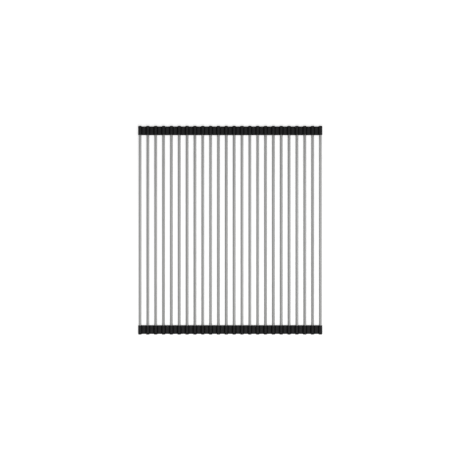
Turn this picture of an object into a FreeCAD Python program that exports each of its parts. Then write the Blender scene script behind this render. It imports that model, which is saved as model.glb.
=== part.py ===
"""Roll-up dish-drying rack that spans a kitchen sink.

Stainless tubes lie side by side, their ends held in two moulded silicone strips.
Each strip is a row of round ridges, one over each tube end, joined by flat webs.
The webs bend, so the rack rolls up tube by tube.  Both strips are split where
they fold, at the middle of each web, and each tube carries its own segments.

Frame: X runs across the tubes, Y along them, +Z up.  The origin lies on the
surface that the rack rests on, under its middle.  All sizes are in millimetres.
"""

import FreeCAD, Part
import math
import os

import Sketcher

SIZES = [
    ("tube_count", 24, "tubes, side by side"),
    ("tube_pitch", 16, "from one tube's axis to the next"),
    ("tube_diameter", 6, "outer diameter of a tube"),
    ("tube_wall", 0.5, "wall of a tube"),
    ("rack_length", 426, "along the tubes, over the domed ends of both strips"),
    ("ridge_wall", 0.9, "silicone round a tube"),
    ("end_wall", 2.5, "silicone past the end of a tube"),
    ("dome_radius", 1.9, "rounding of a ridge's outer end"),
    ("dome_overhang", 1.3, "how far a ridge's outer end stands out past the web"),
    ("web_length", 18, "a web, measured along the tubes"),
    ("web_thickness", 2, "a web, top to bottom"),
    ("ridge_setback", 0.5, "from a web's inner edge back to the ridge's inner end"),
    ("lip_chamfer", 0.3, "chamfer round a ridge's inner end"),
    ("land_depth", 0.4, "how deep a ridge's underside is cut flat, to rest on"),
    ("steepest_fold", 60, "degrees that two neighbouring segments may turn"),
    ("fold_clearance", 0.05, "left between two segments folded that far"),
]

RIDGE_RADIUS = "(Sizes.tube_diameter / 2 + Sizes.ridge_wall)"
AXIS_HEIGHT = f"({RIDGE_RADIUS} - Sizes.land_depth)"
RIDGE_OUTER = "(Sizes.rack_length / 2)"
WEB_OUTER = f"({RIDGE_OUTER} - Sizes.dome_overhang)"
WEB_INNER = f"({WEB_OUTER} - Sizes.web_length)"
RIDGE_INNER = f"({WEB_INNER} + Sizes.ridge_setback)"
TUBE_END = f"({RIDGE_OUTER} - Sizes.end_wall)"

# A web ends in a round nose at each fold line.  Set back from it by this much, two
# noses just clear each other when their segments are folded to the steepest angle.
NOSE_SETBACK = (
    "(Sizes.web_thickness / cos(Sizes.steepest_fold * 1 deg / 2)"
    " + Sizes.fold_clearance) / 2"
)
NOSE_CENTRE = f"(Sizes.tube_pitch / 2 - {NOSE_SETBACK})"

# A sketch knows its own axes, and the points of a line or an arc, by these numbers.
X_AXIS, Y_AXIS = range(-1, -3, -1)
START, END, CENTRE = range(1, 4)
ORIGIN = (X_AXIS, START)


def make_sheet(doc):
    """Write the driving sizes into a spreadsheet, one alias for each."""
    sheet = doc.addObject("Spreadsheet::Sheet", "Sizes")
    for row, (alias, value, meaning) in enumerate(SIZES, start=1):
        sheet.set(f"A{row}", alias)
        sheet.set(f"B{row}", str(value))
        sheet.set(f"C{row}", meaning)
        sheet.setAlias(f"B{row}", alias)
    doc.recompute()
    return sheet


def new_body(doc, name, number):
    """Start a sub-part whose local Y axis is the axis of one tube."""
    body = doc.addObject("PartDesign::Body", name)
    body.Label = name
    body.setExpression(
        "Placement.Base.x", f"({number} - (Sizes.tube_count + 1) / 2) * Sizes.tube_pitch"
    )
    body.setExpression("Placement.Base.z", AXIS_HEIGHT)
    return body


def origin_plane(body, role):
    """Find one of a body's own origin planes."""
    return next(item for item in body.Origin.OriginFeatures if item.Role == role)


def new_sketch(body, name, role, at_y=None):
    """Add a sketch on one of the body's origin planes.

    On XZ_Plane a sketch's x and y are X and Z, and at_y moves it along Y.  On
    XY_Plane they are X and Y.
    """
    sketch = body.newObject("Sketcher::SketchObject", f"{body.Name}_{name}")
    sketch.AttachmentSupport = [(origin_plane(body, role), "")]
    sketch.MapMode = "FlatFace"
    if at_y:
        sketch.setExpression("AttachmentOffset.Base.z", f"-{at_y}")
    return sketch


def new_feature(body, kind, name, sketch):
    """Add a feature that works on a sketch."""
    feature = body.newObject(f"PartDesign::{kind}", f"{body.Name}_{name}")
    feature.Profile = sketch
    return feature


def add_line(sketch, x1, y1, x2, y2):
    """Draw a straight edge and return its number."""
    start = FreeCAD.Vector(x1, y1, 0)
    end = FreeCAD.Vector(x2, y2, 0)
    return sketch.addGeometry(Part.LineSegment(start, end), False)


def add_arc(sketch, x, y, radius, start_degrees, end_degrees):
    """Draw an arc anticlockwise round (x, y) and return its number."""
    circle = Part.Circle(FreeCAD.Vector(x, y, 0), FreeCAD.Vector(0, 0, 1), radius)
    arc = Part.ArcOfCircle(circle, math.radians(start_degrees), math.radians(end_degrees))
    return sketch.addGeometry(arc, False)


def constrain(sketch, kind, *places):
    """Add a constraint that has no size."""
    sketch.addConstraint(Sketcher.Constraint(kind, *places))


def measure(sketch, expression):
    """Work out a size in millimetres, to draw a shape where it belongs."""
    size = sketch.evalExpression(expression)
    return getattr(size, "Value", size)


def bind(sketch, kind, places, expression):
    """Add a dimension and tie it to the spreadsheet."""
    size = measure(sketch, expression)
    index = sketch.addConstraint(Sketcher.Constraint(kind, *places, size))
    sketch.setExpression(f"Constraints[{index}]", expression)


def add_circle(sketch, diameter):
    """Draw a circle round the tube's axis."""
    middle = FreeCAD.Vector(0, 0, 0)
    circle = Part.Circle(middle, FreeCAD.Vector(0, 0, 1), measure(sketch, diameter) / 2)
    number = sketch.addGeometry(circle, False)
    constrain(sketch, "Coincident", number, CENTRE, *ORIGIN)
    bind(sketch, "Diameter", (number,), diameter)


def make_tube(doc, number):
    """A straight length of thin-walled stainless tube, open at both ends."""
    body = new_body(doc, f"tube_{number:02d}", number)
    ring = new_sketch(body, "ring", "XZ_Plane")
    add_circle(ring, "Sizes.tube_diameter")
    add_circle(ring, "Sizes.tube_diameter - 2 * Sizes.tube_wall")
    wall = new_feature(body, "Pad", "wall", ring)
    wall.Midplane = True
    wall.setExpression("Length", f"2 * {TUBE_END}")
    return body


def draw_half_web(sketch, side):
    """Draw the band from under the ridge to its round nose on one side."""
    half = measure(sketch, "Sizes.web_thickness / 2")
    reach = side * measure(sketch, NOSE_CENTRE)
    lower = add_line(sketch, 0, -half, reach, -half)
    upper = add_line(sketch, 0, half, reach, half)
    root = add_line(sketch, 0, -half, 0, half)
    nose = add_arc(sketch, reach, 0, half, -90 * side, 180 - 90 * side)
    first, last = (lower, upper) if side > 0 else (upper, lower)
    constrain(sketch, "Tangent", first, END, nose, START)
    constrain(sketch, "Tangent", last, END, nose, END)
    constrain(sketch, "Coincident", root, START, lower, START)
    constrain(sketch, "Coincident", root, END, upper, START)
    constrain(sketch, "Horizontal", lower)
    constrain(sketch, "Horizontal", upper)
    constrain(sketch, "PointOnObject", root, START, Y_AXIS)
    constrain(sketch, "PointOnObject", root, END, Y_AXIS)
    constrain(sketch, "PointOnObject", nose, CENTRE, X_AXIS)
    centre = (nose, CENTRE)
    across = ORIGIN + centre if side > 0 else centre + ORIGIN
    bind(sketch, "DistanceX", across, NOSE_CENTRE)
    bind(sketch, "Radius", (nose,), "Sizes.web_thickness / 2")


def draw_ridge_profile(sketch):
    """Draw half of a ridge's length section, from its axis out to its surface."""
    radius = measure(sketch, RIDGE_RADIUS)
    outer = measure(sketch, RIDGE_OUTER)
    inner = measure(sketch, RIDGE_INNER)
    round_off = measure(sketch, "Sizes.dome_radius")
    bevel = measure(sketch, "Sizes.lip_chamfer")
    spine = add_line(sketch, 0, inner, 0, outer)
    outer_end = add_line(sketch, 0, outer, radius - round_off, outer)
    dome = add_arc(sketch, radius - round_off, outer - round_off, round_off, 0, 90)
    flank = add_line(sketch, radius, outer - round_off, radius, inner + bevel)
    lip = add_line(sketch, radius, inner + bevel, radius - bevel, inner)
    inner_end = add_line(sketch, radius - bevel, inner, 0, inner)
    constrain(sketch, "Coincident", spine, END, outer_end, START)
    constrain(sketch, "Tangent", outer_end, END, dome, END)
    constrain(sketch, "Tangent", dome, START, flank, START)
    constrain(sketch, "Coincident", flank, END, lip, START)
    constrain(sketch, "Coincident", lip, END, inner_end, START)
    constrain(sketch, "Coincident", inner_end, END, spine, START)
    constrain(sketch, "PointOnObject", spine, START, Y_AXIS)
    constrain(sketch, "PointOnObject", spine, END, Y_AXIS)
    constrain(sketch, "Horizontal", outer_end)
    constrain(sketch, "Vertical", flank)
    constrain(sketch, "Horizontal", inner_end)
    bind(sketch, "DistanceX", ORIGIN + (flank, END), RIDGE_RADIUS)
    bind(sketch, "DistanceY", ORIGIN + (spine, END), RIDGE_OUTER)
    bind(sketch, "DistanceY", ORIGIN + (spine, START), RIDGE_INNER)
    bind(sketch, "Radius", (dome,), "Sizes.dome_radius")
    bind(sketch, "DistanceX", (lip, END, lip, START), "Sizes.lip_chamfer")
    bind(sketch, "DistanceY", (lip, END, lip, START), "Sizes.lip_chamfer")


def draw_land_cut(sketch):
    """Draw what is cut from under a ridge, as wide as the ridge."""
    radius = measure(sketch, RIDGE_RADIUS)
    high = -measure(sketch, AXIS_HEIGHT)
    low = high - radius
    top = add_line(sketch, -radius, high, radius, high)
    right = add_line(sketch, radius, high, radius, low)
    bottom = add_line(sketch, radius, low, -radius, low)
    left = add_line(sketch, -radius, low, -radius, high)
    sides = (top, right, bottom, left)
    for side, next_side in zip(sides, sides[1:] + sides[:1]):
        constrain(sketch, "Coincident", side, END, next_side, START)
    constrain(sketch, "Symmetric", top, START, top, END, Y_AXIS)
    constrain(sketch, "Horizontal", bottom)
    constrain(sketch, "Vertical", left)
    constrain(sketch, "Vertical", right)
    bind(sketch, "DistanceX", (top, START, top, END), f"2 * {RIDGE_RADIUS}")
    bind(sketch, "DistanceY", (bottom, END, top, START), RIDGE_RADIUS)
    bind(sketch, "DistanceY", (top, START) + ORIGIN, AXIS_HEIGHT)


def make_strip_segments(doc, number, count):
    """One tube's segment of both strips: a ridge with a blind bore, and its webs."""
    body = new_body(doc, f"strip_segments_{number:02d}", number)

    ridge_profile = new_sketch(body, "ridge_profile", "XY_Plane")
    draw_ridge_profile(ridge_profile)
    ridge = new_feature(body, "Revolution", "ridge", ridge_profile)
    ridge.ReferenceAxis = (ridge_profile, ["V_Axis"])
    ridge.Angle = 360

    has_web = {"right": number < count, "left": number > 1}
    for name, side in (("left", -1), ("right", 1)):
        if has_web[name]:
            band = new_sketch(body, f"{name}_band", "XZ_Plane", at_y=WEB_OUTER)
            draw_half_web(band, side)
            web = new_feature(body, "Pad", f"{name}_web", band)
            web.setExpression("Length", "Sizes.web_length")

    under = new_sketch(body, "under", "XZ_Plane")
    draw_land_cut(under)
    land = new_feature(body, "Pocket", "land", under)
    land.Type = "ThroughAll"

    mouth = new_sketch(body, "mouth", "XZ_Plane")
    add_circle(mouth, "Sizes.tube_diameter")
    bore = new_feature(body, "Pocket", "bore", mouth)
    bore.setExpression("Length", TUBE_END)
    doc.recompute()

    other_strip = body.newObject("PartDesign::Mirrored", f"{body.Name}_other_strip")
    other_strip.TransformMode = "Whole shape"
    other_strip.MirrorPlane = (origin_plane(body, "XZ_Plane"), [""])
    body.Tip = other_strip
    return body


def check(doc, expected_solids):
    """Stop if any feature failed or a sub-part isn't the solids it should be."""
    for item in doc.Objects:
        if {"Invalid", "Error"} & set(item.State):
            raise RuntimeError(f"{item.Label} failed: {item.State}")
    for body, solids in expected_solids.items():
        shape = doc.getObject(body).Shape
        if shape.isNull() or not shape.isValid() or len(shape.Solids) != solids:
            raise RuntimeError(f"{body} isn't {solids} valid solids")


def main():
    """Build the rack and write each sub-part to its own file."""
    doc = FreeCAD.newDocument("dish_drying_rack")
    sheet = make_sheet(doc)
    count = int(sheet.get("tube_count"))
    numbers = range(1, count + 1)
    tubes = [make_tube(doc, number) for number in numbers]
    segments = [make_strip_segments(doc, number, count) for number in numbers]
    doc.recompute()
    check(doc, {body.Name: 1 for body in tubes} | {body.Name: 2 for body in segments})
    os.makedirs("parts", exist_ok=True)
    for body in tubes + segments:
        body.Shape.exportStep(f"parts/{body.Label}.step")
    print(f"{len(tubes)} tubes and {len(segments)} pairs of strip segments written")


main()
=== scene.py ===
"""Looks of a roll-up dish-drying rack: satin stainless tubes in two black silicone strips.

Laid out as an add-on: property groups for the sizes and the colours that a user would
change, one operator for each kind of piece and one for the stage, and a panel that
lists them.  Everything is in metres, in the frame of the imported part: X runs across
the tubes, Y along them, +Z up, and the rack lies on z = 0.
"""

import math

import bpy
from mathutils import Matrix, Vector


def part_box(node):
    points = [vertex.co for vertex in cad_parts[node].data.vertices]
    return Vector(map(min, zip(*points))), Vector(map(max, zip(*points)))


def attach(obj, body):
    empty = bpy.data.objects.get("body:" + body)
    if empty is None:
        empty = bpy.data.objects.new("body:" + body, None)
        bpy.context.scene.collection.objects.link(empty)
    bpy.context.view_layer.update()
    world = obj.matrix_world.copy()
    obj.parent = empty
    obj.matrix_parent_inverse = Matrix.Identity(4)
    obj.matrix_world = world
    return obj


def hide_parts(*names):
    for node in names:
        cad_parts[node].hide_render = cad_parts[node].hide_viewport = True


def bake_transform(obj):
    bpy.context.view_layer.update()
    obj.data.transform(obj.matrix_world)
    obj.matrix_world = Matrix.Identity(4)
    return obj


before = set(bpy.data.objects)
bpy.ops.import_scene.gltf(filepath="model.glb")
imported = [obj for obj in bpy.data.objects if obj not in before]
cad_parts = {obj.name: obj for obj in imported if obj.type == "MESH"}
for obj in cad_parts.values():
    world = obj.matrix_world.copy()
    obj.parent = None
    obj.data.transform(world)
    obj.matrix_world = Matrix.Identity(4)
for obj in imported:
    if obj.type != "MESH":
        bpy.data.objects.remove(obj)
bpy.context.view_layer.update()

bl_info = {
    "name": "Roll-up drying rack",
    "version": (1, 0, 0),
    "blender": (4, 5, 0),
    "location": "View3D > Sidebar > Drying rack",
    "description": "Models the tubes and silicone strips of a roll-up drying rack",
    "category": "Object",
}

MM = 0.001
# Points closer together than this are one point.
WELD = 0.001 * MM
# A point as near as this to a piece's end lies on it.
AT_END = 0.01 * MM
# A face looks along Y if at least this much of its unit normal does.
ALONG_Y = 0.99

TUBE_COUNT = sum(name.startswith("tube_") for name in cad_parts)
NUMBERS = range(1, TUBE_COUNT + 1)

FIRST_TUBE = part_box("tube_01")
FIRST_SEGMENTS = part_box("strip_segments_01")
TUBE_RADIUS = (FIRST_TUBE[1].z - FIRST_TUBE[0].z) / 2
TUBE_END = FIRST_TUBE[1].y
AXIS_HEIGHT = (FIRST_TUBE[0].z + FIRST_TUBE[1].z) / 2
RIDGE_RADIUS = FIRST_SEGMENTS[1].z - AXIS_HEIGHT
RIDGE_OUTER = FIRST_SEGMENTS[1].y
RACK_LENGTH = 2 * RIDGE_OUTER
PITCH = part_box("tube_02")[0].x - FIRST_TUBE[0].x


def tube_x(number):
    """Where a tube's axis lies, across the rack."""
    low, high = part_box(f"tube_{number:02d}")
    return (low.x + high.x) / 2


# ---------------------------------------------------------------- sizes and colours


class RackSizes(bpy.types.PropertyGroup):
    """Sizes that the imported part's boxes don't give."""

    tube_wall: bpy.props.FloatProperty(
        name="Tube wall",
        description="Thickness of the steel",
        default=0.5 * MM,
        unit="LENGTH",
    )
    tube_burr: bpy.props.FloatProperty(
        name="Tube end rounding",
        description="Rounding at a tube's ends, where the burr was taken off",
        default=0.08 * MM,
        unit="LENGTH",
    )
    dome_radius: bpy.props.FloatProperty(
        name="Dome radius",
        description="Rounding of a ridge's outer end",
        default=1.9 * MM,
        unit="LENGTH",
    )
    dome_overhang: bpy.props.FloatProperty(
        name="Dome overhang",
        description="How far a ridge's outer end stands out past the web",
        default=1.3 * MM,
        unit="LENGTH",
    )
    web_length: bpy.props.FloatProperty(
        name="Web length",
        description="Length of a web along the tubes",
        default=18 * MM,
        unit="LENGTH",
    )
    web_thickness: bpy.props.FloatProperty(
        name="Web thickness",
        description="Thickness of a web between two ridges",
        default=2 * MM,
        unit="LENGTH",
    )
    web_edge: bpy.props.FloatProperty(
        name="Web edge",
        description="Rounding along a web's outer and inner edge",
        default=0.8 * MM,
        unit="LENGTH",
    )
    web_fillet: bpy.props.FloatProperty(
        name="Web fillet",
        description="Radius of the fillet that runs a web into its ridges",
        default=1.0 * MM,
        unit="LENGTH",
    )
    ridge_setback: bpy.props.FloatProperty(
        name="Ridge setback",
        description="From a web's inner edge back to the ridge's inner end",
        default=0.5 * MM,
        unit="LENGTH",
    )
    lip_radius: bpy.props.FloatProperty(
        name="Lip radius",
        description="Rounding round the mouth where a tube goes in",
        default=0.3 * MM,
        unit="LENGTH",
    )


class RackColours(bpy.types.PropertyGroup):
    """Colours as sRGB hex values, without the hash sign."""

    steel: bpy.props.StringProperty(
        name="Steel",
        description="What a satin stainless tube reflects",
        default="BBBBBA",
    )
    steel_dark: bpy.props.StringProperty(
        name="Duller steel",
        description="What a less polished tube reflects",
        default="A4A4A3",
    )
    # Black pigment, kept as painted shade in creases and undersides.
    silicone: bpy.props.StringProperty(
        name="Silicone",
        description="Black pigment of the moulded strips, as it stays in the creases",
        default="040405",
    )
    # Painted light: the greyer tone that crests and web tops get.
    silicone_painted_light: bpy.props.StringProperty(
        name="Rubbed silicone",
        description="Greyer bloom where hands and dishes rub the strips",
        default="252526",
    )
    floor: bpy.props.StringProperty(
        name="Floor",
        description="Paint of the board under the rack, without the white it adds",
        default="BCBCBC",
    )


# ------------------------------------------------------------------------ materials


# A noise texture's values lie nearly all between these two.
NOISE_SPAN = {"From Min": 0.3, "From Max": 0.7}

# A Mix node repeats its sockets' names for each type.  The colour ones have these
# numbers.
FIRST_COLOUR = 6
SECOND_COLOUR = 7
MIXED_COLOUR = 2

# Each point of a strip stores under this name its share of painted light over painted
# shade.
PAINTED_LIGHT = "painted_light"


def linear(hex_colour):
    """Turn an sRGB hex colour into linear red, green, blue and alpha."""
    channels = [int(hex_colour[i : i + 2], 16) / 255 for i in (0, 2, 4)]
    return [
        c / 12.92 if c <= 0.04045 else ((c + 0.055) / 1.055) ** 2.4 for c in channels
    ] + [1.0]


def add_node(tree, kind, settings=None, links=None):
    """Add a node, set its properties and input values, and link its inputs.

    An input is called by its name, or by its number where several share a name.
    """
    node = tree.nodes.new(kind)
    for key, value in (settings or {}).items():
        if isinstance(key, str) and hasattr(node, key):
            setattr(node, key, value)
        else:
            node.inputs[key].default_value = value
    for key, socket in (links or {}).items():
        tree.links.new(socket, node.inputs[key])
    return node


def new_material(name):
    """Start an empty node material and return it with its tree and output."""
    material = bpy.data.materials.new(name)
    material.use_nodes = True
    tree = material.node_tree
    tree.nodes.clear()
    return material, tree, add_node(tree, "ShaderNodeOutputMaterial")


def satin_stainless(colours):
    """Drawn 304 stainless tube with a satin finish.

    Drawing leaves fine lines along the tube, so the highlight is broken into streaks
    of slightly different gloss, and stays wide round the tube.
    """
    material, tree, output = new_material("stainless_304_drawn_satin")
    place = add_node(tree, "ShaderNodeTexCoord")
    # Each tube is polished by itself, so its tone differs a little from the next one's.
    stride = add_node(
        tree,
        "ShaderNodeMapping",
        {"Scale": (1 / PITCH, 1 / RACK_LENGTH, 1 / PITCH)},
        {"Vector": place.outputs["Object"]},
    )
    tone = add_node(
        tree,
        "ShaderNodeTexNoise",
        {"Scale": 1.0, "Detail": 1.0, "Roughness": 0.5},
        {"Vector": stride.outputs["Vector"]},
    )
    polish = add_node(
        tree,
        "ShaderNodeMix",
        {
            "data_type": "RGBA",
            FIRST_COLOUR: linear(colours.steel_dark),
            SECOND_COLOUR: linear(colours.steel),
        },
        {"Factor": tone.outputs["Fac"]},
    )
    # A drawing line is 0.25 mm wide and 60 mm long.  Real ones are finer than the
    # render can show.
    line_width = 0.25 * MM
    line_length = 60 * MM
    stretched = add_node(
        tree,
        "ShaderNodeMapping",
        {"Scale": (1 / line_width, 1 / line_length, 1 / line_width)},
        {"Vector": place.outputs["Object"]},
    )
    lines = add_node(
        tree,
        "ShaderNodeTexNoise",
        {"Scale": 1.0, "Detail": 2.0, "Roughness": 0.5},
        {"Vector": stretched.outputs["Vector"]},
    )
    gloss = add_node(
        tree,
        "ShaderNodeMapRange",
        {**NOISE_SPAN, "To Min": 0.30, "To Max": 0.42},
        {"Value": lines.outputs["Fac"]},
    )
    relief = add_node(
        tree,
        "ShaderNodeBump",
        {"Strength": 0.12, "Distance": 0.01 * MM},
        {"Height": lines.outputs["Fac"]},
    )
    shader = add_node(
        tree,
        "ShaderNodeBsdfPrincipled",
        {"Metallic": 1.0},
        {
            "Base Color": polish.outputs[MIXED_COLOUR],
            "Roughness": gloss.outputs["Result"],
            "Normal": relief.outputs["Normal"],
        },
    )
    tree.links.new(shader.outputs["BSDF"], output.inputs["Surface"])
    return material


def matt_silicone(colours):
    """Compression-moulded silicone rubber with a matt, spark-eroded mould finish.

    The mould's grain softens the shine.  Crests and flats get a painted highlight, a
    greyer tone that is a little uneven, while creases and undersides keep a painted shade
    of deep black.
    """
    material, tree, output = new_material("silicone_rubber_moulded_matt_black")
    place = add_node(tree, "ShaderNodeTexCoord")
    # Real mould grain is well under 0.1 mm, finer than the render can show.
    grain_size = 0.35 * MM
    # The painted light is uneven in patches about this wide.
    uneven_painted_light_size = 6 * MM
    grain = add_node(
        tree,
        "ShaderNodeTexNoise",
        {"Scale": 1 / grain_size, "Detail": 3.0, "Roughness": 0.6},
        {"Vector": place.outputs["Object"]},
    )
    patches = add_node(
        tree,
        "ShaderNodeTexNoise",
        {"Scale": 1 / uneven_painted_light_size, "Detail": 3.0, "Roughness": 0.55},
        {"Vector": place.outputs["Object"]},
    )
    uneven = add_node(
        tree,
        "ShaderNodeMapRange",
        {**NOISE_SPAN, "To Min": 0.75, "To Max": 1.0},
        {"Value": patches.outputs["Fac"]},
    )
    # Painted light and shade: crests and web tops paler, creases and undersides black.
    painted_light = add_node(tree, "ShaderNodeAttribute", {"attribute_name": PAINTED_LIGHT})
    uneven_painted_light = add_node(
        tree,
        "ShaderNodeMath",
        {"operation": "MULTIPLY"},
        {0: painted_light.outputs["Fac"], 1: uneven.outputs["Result"]},
    )
    # Mixing black with grey paints shade into the creases and light onto the tops.
    pigment = add_node(
        tree,
        "ShaderNodeMix",
        {
            "data_type": "RGBA",
            FIRST_COLOUR: linear(colours.silicone),
            SECOND_COLOUR: linear(colours.silicone_painted_light),
        },
        {"Factor": uneven_painted_light.outputs["Value"]},
    )
    gloss = add_node(
        tree,
        "ShaderNodeMapRange",
        {**NOISE_SPAN, "To Min": 0.46, "To Max": 0.58},
        {"Value": grain.outputs["Fac"]},
    )
    relief = add_node(
        tree,
        "ShaderNodeBump",
        {"Strength": 0.35, "Distance": 0.02 * MM},
        {"Height": grain.outputs["Fac"]},
    )
    shader = add_node(
        tree,
        "ShaderNodeBsdfPrincipled",
        {"IOR": 1.41, "Specular IOR Level": 0.14},
        {
            "Base Color": pigment.outputs[MIXED_COLOUR],
            "Roughness": gloss.outputs["Result"],
            "Normal": relief.outputs["Normal"],
        },
    )
    tree.links.new(shader.outputs["BSDF"], output.inputs["Surface"])
    return material


def background_rays(tree):
    """Give 1 for a ray that shows the background: seen, mirrored or through glass."""
    path = add_node(tree, "ShaderNodeLightPath")
    rays = path.outputs["Is Camera Ray"]
    for kind in ("Is Glossy Ray", "Is Transmission Ray"):
        either = add_node(
            tree,
            "ShaderNodeMath",
            {"operation": "MAXIMUM"},
            {0: rays, 1: path.outputs[kind]},
        )
        rays = either.outputs["Value"]
    return rays


def pale_floor(colours):
    """Matt painted board that turns pure white away from the rack, like a photo sweep.

    The camera and reflections see white of its own on it, and less of that near the
    rack, so that a shadow shows.
    """
    material, tree, output = new_material("painted_board_matt_white")
    place = add_node(tree, "ShaderNodeTexCoord")
    distance = add_node(
        tree,
        "ShaderNodeVectorMath",
        {"operation": "LENGTH"},
        {"Vector": place.outputs["Object"]},
    )
    near, far = 0.3, 0.9
    white_near, white_far = 0.65, 1.0
    own_white = add_node(
        tree,
        "ShaderNodeMapRange",
        {
            "From Min": near,
            "From Max": far,
            "To Min": white_near,
            "To Max": white_far,
        },
        {"Value": distance.outputs["Value"]},
    )
    seen = add_node(
        tree,
        "ShaderNodeMath",
        {"operation": "MULTIPLY"},
        {0: background_rays(tree), 1: own_white.outputs["Result"]},
    )
    glow = add_node(
        tree, "ShaderNodeEmission", None, {"Strength": seen.outputs["Value"]}
    )
    matt = add_node(tree, "ShaderNodeBsdfDiffuse", {"Color": linear(colours.floor)})
    both = add_node(
        tree,
        "ShaderNodeAddShader",
        None,
        {0: matt.outputs["BSDF"], 1: glow.outputs["Emission"]},
    )
    tree.links.new(both.outputs["Shader"], output.inputs["Surface"])
    return material


made_materials = {}


def material_of(make, colours):
    """Make a material once, and find it again for the next kind of piece."""
    if make not in made_materials:
        made_materials[make] = make(colours)
    return made_materials[make]


# ------------------------------------------------------------------- modelling tools


def deselect():
    """Leave nothing selected, so that an operator acts on its own piece only."""
    bpy.ops.object.select_all(action="DESELECT")


def pick(piece):
    """Select a piece and nothing else, and make it the active one."""
    deselect()
    piece.select_set(True)
    bpy.context.view_layer.objects.active = piece


def edit(piece):
    """Open a piece in edit mode with nothing else selected."""
    pick(piece)
    bpy.ops.object.mode_set(mode="EDIT")


def leave():
    """Go back to object mode."""
    bpy.ops.object.mode_set(mode="OBJECT")


def select_rims(piece, *ends):
    """In edit mode, select just the edges that lie at one of these places along Y."""
    bpy.ops.mesh.select_mode(type="EDGE")
    bpy.ops.mesh.select_all(action="DESELECT")
    leave()
    points = piece.data.vertices
    for edge in piece.data.edges:
        edge.select = any(
            all(abs(points[i].co.y - end_y) < AT_END for i in edge.vertices)
            for end_y in ends
        )
    bpy.ops.object.mode_set(mode="EDIT")


def select_faces(piece, test):
    """In edit mode, select just the faces whose normal passes a test."""
    bpy.ops.mesh.select_mode(type="FACE")
    bpy.ops.mesh.select_all(action="DESELECT")
    leave()
    for face in piece.data.polygons:
        face.select = test(face.normal)
    bpy.ops.object.mode_set(mode="EDIT")


def settle(piece):
    """Put a piece's place into its mesh, and its origin at the frame's."""
    pick(piece)
    bpy.ops.object.transform_apply(location=True, rotation=True, scale=True)


def smooth(piece, degrees):
    """Shade smoothly, but keep edges sharper than an angle."""
    pick(piece)
    bpy.ops.object.shade_smooth_by_angle(angle=math.radians(degrees))


def recalculate_normals(piece):
    """Merge doubles and turn every face outwards."""
    edit(piece)
    bpy.ops.mesh.select_all(action="SELECT")
    bpy.ops.mesh.remove_doubles(threshold=WELD)
    bpy.ops.mesh.normals_make_consistent(inside=False)
    leave()


def copy_to(piece, name, x):
    """Copy a piece that was modelled at x = 0, with its own mesh, to another tube."""
    twin = piece.copy()
    twin.data = piece.data.copy()
    twin.name = twin.data.name = name
    bpy.context.scene.collection.objects.link(twin)
    twin.location.x = x
    settle(twin)
    return twin


def ease(value, low, high):
    """Rise smoothly from 0 at low to 1 at high."""
    share = min(1.0, max(0.0, (value - low) / (high - low)))
    return share * share * (3 - 2 * share)


def store_painted_light(piece, painted_light_at):
    """Store at each point the painted light on the silicone, from 0 (painted shade) to 1.
    """
    painted_light = piece.data.attributes.new(PAINTED_LIGHT, "FLOAT", "POINT")
    for vertex, mark in zip(piece.data.vertices, painted_light.data):
        mark.value = painted_light_at(vertex.co)


def mirrored_pair(piece):
    """Make the piece at the rack's rear end one of a pair, with one at the front."""
    mirror = piece.modifiers.new("other_strip", "MIRROR")
    mirror.use_axis = (False, True, False)
    mirror.use_mirror_merge = False
    pick(piece)
    bpy.ops.object.modifier_apply(modifier=mirror.name)


def lying_cylinder(name, radius, sides, y_low, y_high):
    """Add a cylinder along Y on the axis of a tube at x = 0."""
    deselect()
    bpy.ops.mesh.primitive_cylinder_add(
        vertices=sides,
        radius=radius,
        depth=y_high - y_low,
        location=(0, (y_low + y_high) / 2, AXIS_HEIGHT),
        rotation=(math.pi / 2, 0, 0),
    )
    piece = bpy.context.object
    piece.name = piece.data.name = name
    settle(piece)
    return piece


# ---------------------------------------------------------------------------- pieces


class RACK_OT_tubes(bpy.types.Operator):
    """Model the thin-walled stainless tubes, with deburred ends"""

    bl_idname = "rack.tubes"
    bl_label = "Stainless tubes"

    def execute(self, context):
        sizes = context.scene.rack_sizes
        sides = 48
        pattern = lying_cylinder("tube", TUBE_RADIUS, sides, -TUBE_END, TUBE_END)
        edit(pattern)
        select_rims(pattern, -TUBE_END, TUBE_END)
        bpy.ops.mesh.bevel(offset=sizes.tube_burr, segments=2, affect="EDGES")
        # Open the tube: inset both ends to the wall, and bridge them through.
        select_faces(pattern, lambda normal: abs(normal.y) > ALONG_Y)
        bpy.ops.mesh.inset(thickness=sizes.tube_wall - sizes.tube_burr, depth=0)
        bpy.ops.mesh.bridge_edge_loops()
        leave()
        recalculate_normals(pattern)
        smooth(pattern, degrees=30)
        steel = material_of(satin_stainless, context.scene.rack_colours)
        pattern.data.materials.append(steel)
        for number in NUMBERS:
            tube = copy_to(pattern, f"tube_{number:02d}_steel", tube_x(number))
            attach(tube, f"bar_{number:02d}")
            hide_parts(f"tube_{number:02d}")
        bpy.data.objects.remove(pattern)
        return {"FINISHED"}


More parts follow.
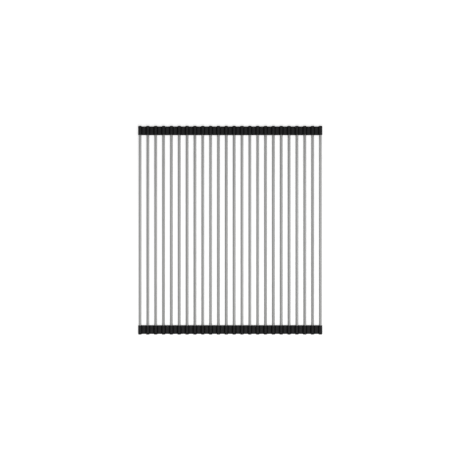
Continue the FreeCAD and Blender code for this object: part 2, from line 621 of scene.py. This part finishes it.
class RACK_OT_ridges(bpy.types.Operator):
    """Model the round silicone ridges that hold the tubes' ends"""

    bl_idname = "rack.ridges"
    bl_label = "Silicone ridges"

    def execute(self, context):
        sizes = context.scene.rack_sizes
        sides = 64
        web_outer = RIDGE_OUTER - sizes.dome_overhang
        ridge_inner = web_outer - sizes.web_length + sizes.ridge_setback
        pattern = lying_cylinder("ridge", RIDGE_RADIUS, sides, ridge_inner, RIDGE_OUTER)
        edit(pattern)
        for end_y, radius, segments in (
            (RIDGE_OUTER, sizes.dome_radius, 8),
            (ridge_inner, sizes.lip_radius, 3),
        ):
            select_rims(pattern, end_y)
            bpy.ops.mesh.bevel(offset=radius, segments=segments, affect="EDGES")
        # The mouth: a blind bore for the tube.
        select_faces(pattern, lambda normal: normal.y < -ALONG_Y)
        rim = RIDGE_RADIUS - sizes.lip_radius - TUBE_RADIUS
        bpy.ops.mesh.inset(thickness=rim, depth=0)
        bpy.ops.mesh.extrude_region_move(
            TRANSFORM_OT_translate={"value": (0, TUBE_END - ridge_inner, 0)}
        )
        # The land: the underside is cut flat where the rack rests.
        bpy.ops.mesh.select_all(action="SELECT")
        bpy.ops.mesh.bisect(
            plane_co=(0, 0, 0),
            plane_no=(0, 0, 1),
            clear_inner=True,
            use_fill=True,
            threshold=WELD,
        )
        leave()
        recalculate_normals(pattern)
        smooth(pattern, degrees=35)
        mirrored_pair(pattern)
        # A ridge gets painted light along its crest, less over its dome, and painted shade
        # on its flanks.  The crest starts this share of the way up from the axis.
        crest_from = 0.6
        store_painted_light(
            pattern,
            lambda place: ease((place.z - AXIS_HEIGHT) / RIDGE_RADIUS, crest_from, 1.0)
            * ease(RIDGE_OUTER - abs(place.y), 0, sizes.dome_radius),
        )
        rubber = material_of(matt_silicone, context.scene.rack_colours)
        pattern.data.materials.append(rubber)
        for number in NUMBERS:
            ridges = copy_to(pattern, f"ridges_{number:02d}", tube_x(number))
            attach(ridges, f"bar_{number:02d}")
            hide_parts(f"strip_segments_{number:02d}")
        bpy.data.objects.remove(pattern)
        return {"FINISHED"}


def web_stations(sizes):
    """Give (x, half thickness) across a web, from inside one ridge to inside the next.

    A fillet's circle touches both the web's face and the ridge's round surface.
    """
    half = sizes.web_thickness / 2
    fillet = sizes.web_fillet
    reach = RIDGE_RADIUS + fillet
    centre_x = math.sqrt(reach**2 - (half + fillet) ** 2)
    touch_angle = math.atan2(half + fillet, centre_x)
    steps = 5
    flare = []
    for step in range(steps + 1):
        # From where the fillet leaves the ridge down to where it meets the web.
        angle = touch_angle + (math.pi / 2 - touch_angle) * step / steps
        x = centre_x - fillet * math.cos(angle)
        flare.append((x, half + fillet - fillet * math.sin(angle)))
    root = [(flare[0][0] - fillet, flare[0][1])]
    span_start = flare[-1][0]
    panels = 14
    span = [
        (span_start + (PITCH - 2 * span_start) * panel / panels, half)
        for panel in range(1, panels)
    ]
    near = root + flare
    far = [(PITCH - x, thick) for x, thick in reversed(near)]
    return near + span + far


class RACK_OT_webs(bpy.types.Operator):
    """Model the flat silicone webs between the ridges"""

    bl_idname = "rack.webs"
    bl_label = "Silicone webs"

    def execute(self, context):
        sizes = context.scene.rack_sizes
        stations = web_stations(sizes)
        web_outer = RIDGE_OUTER - sizes.dome_overhang
        middle_y = web_outer - sizes.web_length / 2
        start_x, start_half = stations[0]
        # Start from the web's section: a plate with rounded corners, seen along X.
        deselect()
        bpy.ops.mesh.primitive_plane_add(
            size=1, location=(start_x, middle_y, AXIS_HEIGHT), rotation=(0, math.pi / 2, 0)
        )
        pattern = bpy.context.object
        pattern.name = "web"
        pattern.scale = (2 * start_half, sizes.web_length, 1)
        settle(pattern)
        edit(pattern)
        bpy.ops.mesh.select_all(action="SELECT")
        bpy.ops.mesh.bevel(offset=sizes.web_edge, segments=5, affect="VERTICES")
        # Pull it across from station to station, thinner and thicker with the fillets.
        bpy.ops.mesh.select_mode(type="FACE")
        bpy.ops.mesh.select_all(action="SELECT")
        for (x, half), (next_x, next_half) in zip(stations, stations[1:]):
            bpy.ops.mesh.extrude_region_move(
                TRANSFORM_OT_translate={"value": (next_x - x, 0, 0)}
            )
            bpy.ops.transform.resize(
                value=(1, 1, next_half / half),
                center_override=(next_x, middle_y, AXIS_HEIGHT),
            )
        leave()
        recalculate_normals(pattern)
        smooth(pattern, degrees=50)
        mirrored_pair(pattern)
        # A web gets painted light on its flat top, and painted shade in the creases beside
        # the ridges and underneath.  Its top starts this share of the way up from the
        # middle of its thickness.
        crease_width = 0.5 * MM
        fade_width = 1.6 * MM
        top_from = 0.3
        crease = RIDGE_RADIUS + crease_width
        flat = crease + fade_width
        web_half = sizes.web_thickness / 2
        store_painted_light(
            pattern,
            lambda place: ease(min(place.x, PITCH - place.x), crease, flat)
            * ease((place.z - AXIS_HEIGHT) / web_half, top_from, 1.0),
        )
        rubber = material_of(matt_silicone, context.scene.rack_colours)
        pattern.data.materials.append(rubber)
        for number in NUMBERS[:-1]:
            webs = copy_to(pattern, f"webs_{number:02d}", tube_x(number))
            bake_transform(webs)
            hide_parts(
                f"strip_segments_{number:02d}", f"strip_segments_{number + 1:02d}"
            )
        bpy.data.objects.remove(pattern)
        return {"FINISHED"}


# ----------------------------------------------------------------------------- stage


def add_softbox(name, place, target, size, power):
    """Add a square soft light that faces a point."""
    lamp = bpy.data.lights.new(name, "AREA")
    lamp.size = size
    lamp.energy = power
    softbox = bpy.data.objects.new(name, lamp)
    bpy.context.scene.collection.objects.link(softbox)
    softbox.location = place
    towards = Vector(target) - Vector(place)
    softbox.rotation_euler = towards.to_track_quat("-Z", "Y").to_euler()
    return softbox


# Elevation in degrees, and how bright the studio is there.
STUDIO_GREYS = ((8, 1.0), (22, 0.55), (55, 0.55), (90, 0.84))


def set_world(daylight):
    """Light the rack evenly from all round with white light of a given strength.

    The camera and reflections see the studio instead: white round the horizon, then
    grey walls that give the metal its dark lines, under a paler ceiling.
    """
    world = bpy.data.worlds.new("studio")
    world.use_nodes = True
    tree = world.node_tree
    tree.nodes.clear()
    direction = add_node(tree, "ShaderNodeTexCoord")
    height = add_node(
        tree, "ShaderNodeSeparateXYZ", None, {"Vector": direction.outputs["Generated"]}
    )
    studio = add_node(tree, "ShaderNodeValToRGB", None, {"Fac": height.outputs["Z"]})
    stops = studio.color_ramp.elements
    while len(stops) < len(STUDIO_GREYS):
        stops.new(0)
    for stop, (elevation, grey) in zip(stops, STUDIO_GREYS):
        stop.position = math.sin(math.radians(elevation))
        stop.color = (grey, grey, grey, 1)
    seen = add_node(
        tree, "ShaderNodeBackground", {"Strength": 1.0}, {"Color": studio.outputs["Color"]}
    )
    light = add_node(
        tree, "ShaderNodeBackground", {"Color": (1, 1, 1, 1), "Strength": daylight}
    )
    sky = add_node(
        tree,
        "ShaderNodeMixShader",
        None,
        {
            "Fac": background_rays(tree),
            1: light.outputs["Background"],
            2: seen.outputs["Background"],
        },
    )
    add_node(tree, "ShaderNodeOutputWorld", None, {"Surface": sky.outputs["Shader"]})
    bpy.context.scene.world = world


class RACK_OT_stage(bpy.types.Operator):
    """Set up the floor, soft lights and the camera straight above the rack"""

    bl_idname = "rack.stage"
    bl_label = "Stage"

    def execute(self, context):
        deselect()
        floor_size = 12
        bpy.ops.mesh.primitive_plane_add(size=floor_size, location=(0, 0, 0))
        floor = context.object
        floor.name = "floor"
        floor.data.materials.append(material_of(pale_floor, context.scene.rack_colours))

        middle = (0, 0, AXIS_HEIGHT)
        add_softbox(
            "key_softbox", place=(1.5, -0.2, 1.4), target=middle, size=2.4, power=12
        )
        # The strongest light hangs above and in front of the rack, and isn't reflected.
        overhead = add_softbox(
            "overhead_softbox", place=(0, -0.4, 0.9), target=middle, size=0.7, power=5
        )
        overhead.visible_glossy = False
        set_world(daylight=0.36)

        # The photograph looks straight down with next to no perspective.  Neighbouring
        # tubes are 7.8427 of its 460 pixels apart, and the rack lies 0.2 pixels right
        # of its middle and 0.2 below.
        photo_width = 460
        tube_spacing_px = 7.8427
        off_middle_px = 0.2
        pixel = PITCH / tube_spacing_px
        frame_width = photo_width * pixel
        camera = bpy.data.cameras.new("camera")
        camera.lens = 190
        camera.sensor_width = 36
        distance = frame_width * camera.lens / camera.sensor_width
        camera.clip_end = 2 * distance
        viewer = bpy.data.objects.new("camera", camera)
        context.scene.collection.objects.link(viewer)
        shift = off_middle_px * pixel
        viewer.location = (-shift, shift, AXIS_HEIGHT + distance)
        context.scene.camera = viewer
        context.scene.view_settings.view_transform = "Standard"
        return {"FINISHED"}


# ---------------------------------------------------------------------------- add-on


OPERATORS = (RACK_OT_tubes, RACK_OT_ridges, RACK_OT_webs, RACK_OT_stage)


class RACK_PT_panel(bpy.types.Panel):
    """Lists the rack's sizes and colours, and the steps that make it"""

    bl_label = "Drying rack"
    bl_idname = "RACK_PT_panel"
    bl_space_type = "VIEW_3D"
    bl_region_type = "UI"
    bl_category = "Drying rack"

    def draw(self, context):
        for group in (context.scene.rack_sizes, context.scene.rack_colours):
            for name in group.__annotations__:
                self.layout.prop(group, name)
        for operator in OPERATORS:
            self.layout.operator(operator.bl_idname)


CLASSES = (RackSizes, RackColours, *OPERATORS, RACK_PT_panel)


def register():
    """Register the classes and hang the settings on the scene."""
    for cls in CLASSES:
        bpy.utils.register_class(cls)
    bpy.types.Scene.rack_sizes = bpy.props.PointerProperty(type=RackSizes)
    bpy.types.Scene.rack_colours = bpy.props.PointerProperty(type=RackColours)


def unregister():
    """Take the settings and the classes away again."""
    del bpy.types.Scene.rack_colours
    del bpy.types.Scene.rack_sizes
    for cls in reversed(CLASSES):
        bpy.utils.unregister_class(cls)


def main():
    """Make the pieces in order."""
    register()
    bpy.ops.rack.tubes()
    bpy.ops.rack.ridges()
    bpy.ops.rack.webs()
    bpy.ops.rack.stage()


if __name__ == "__main__":
    main()
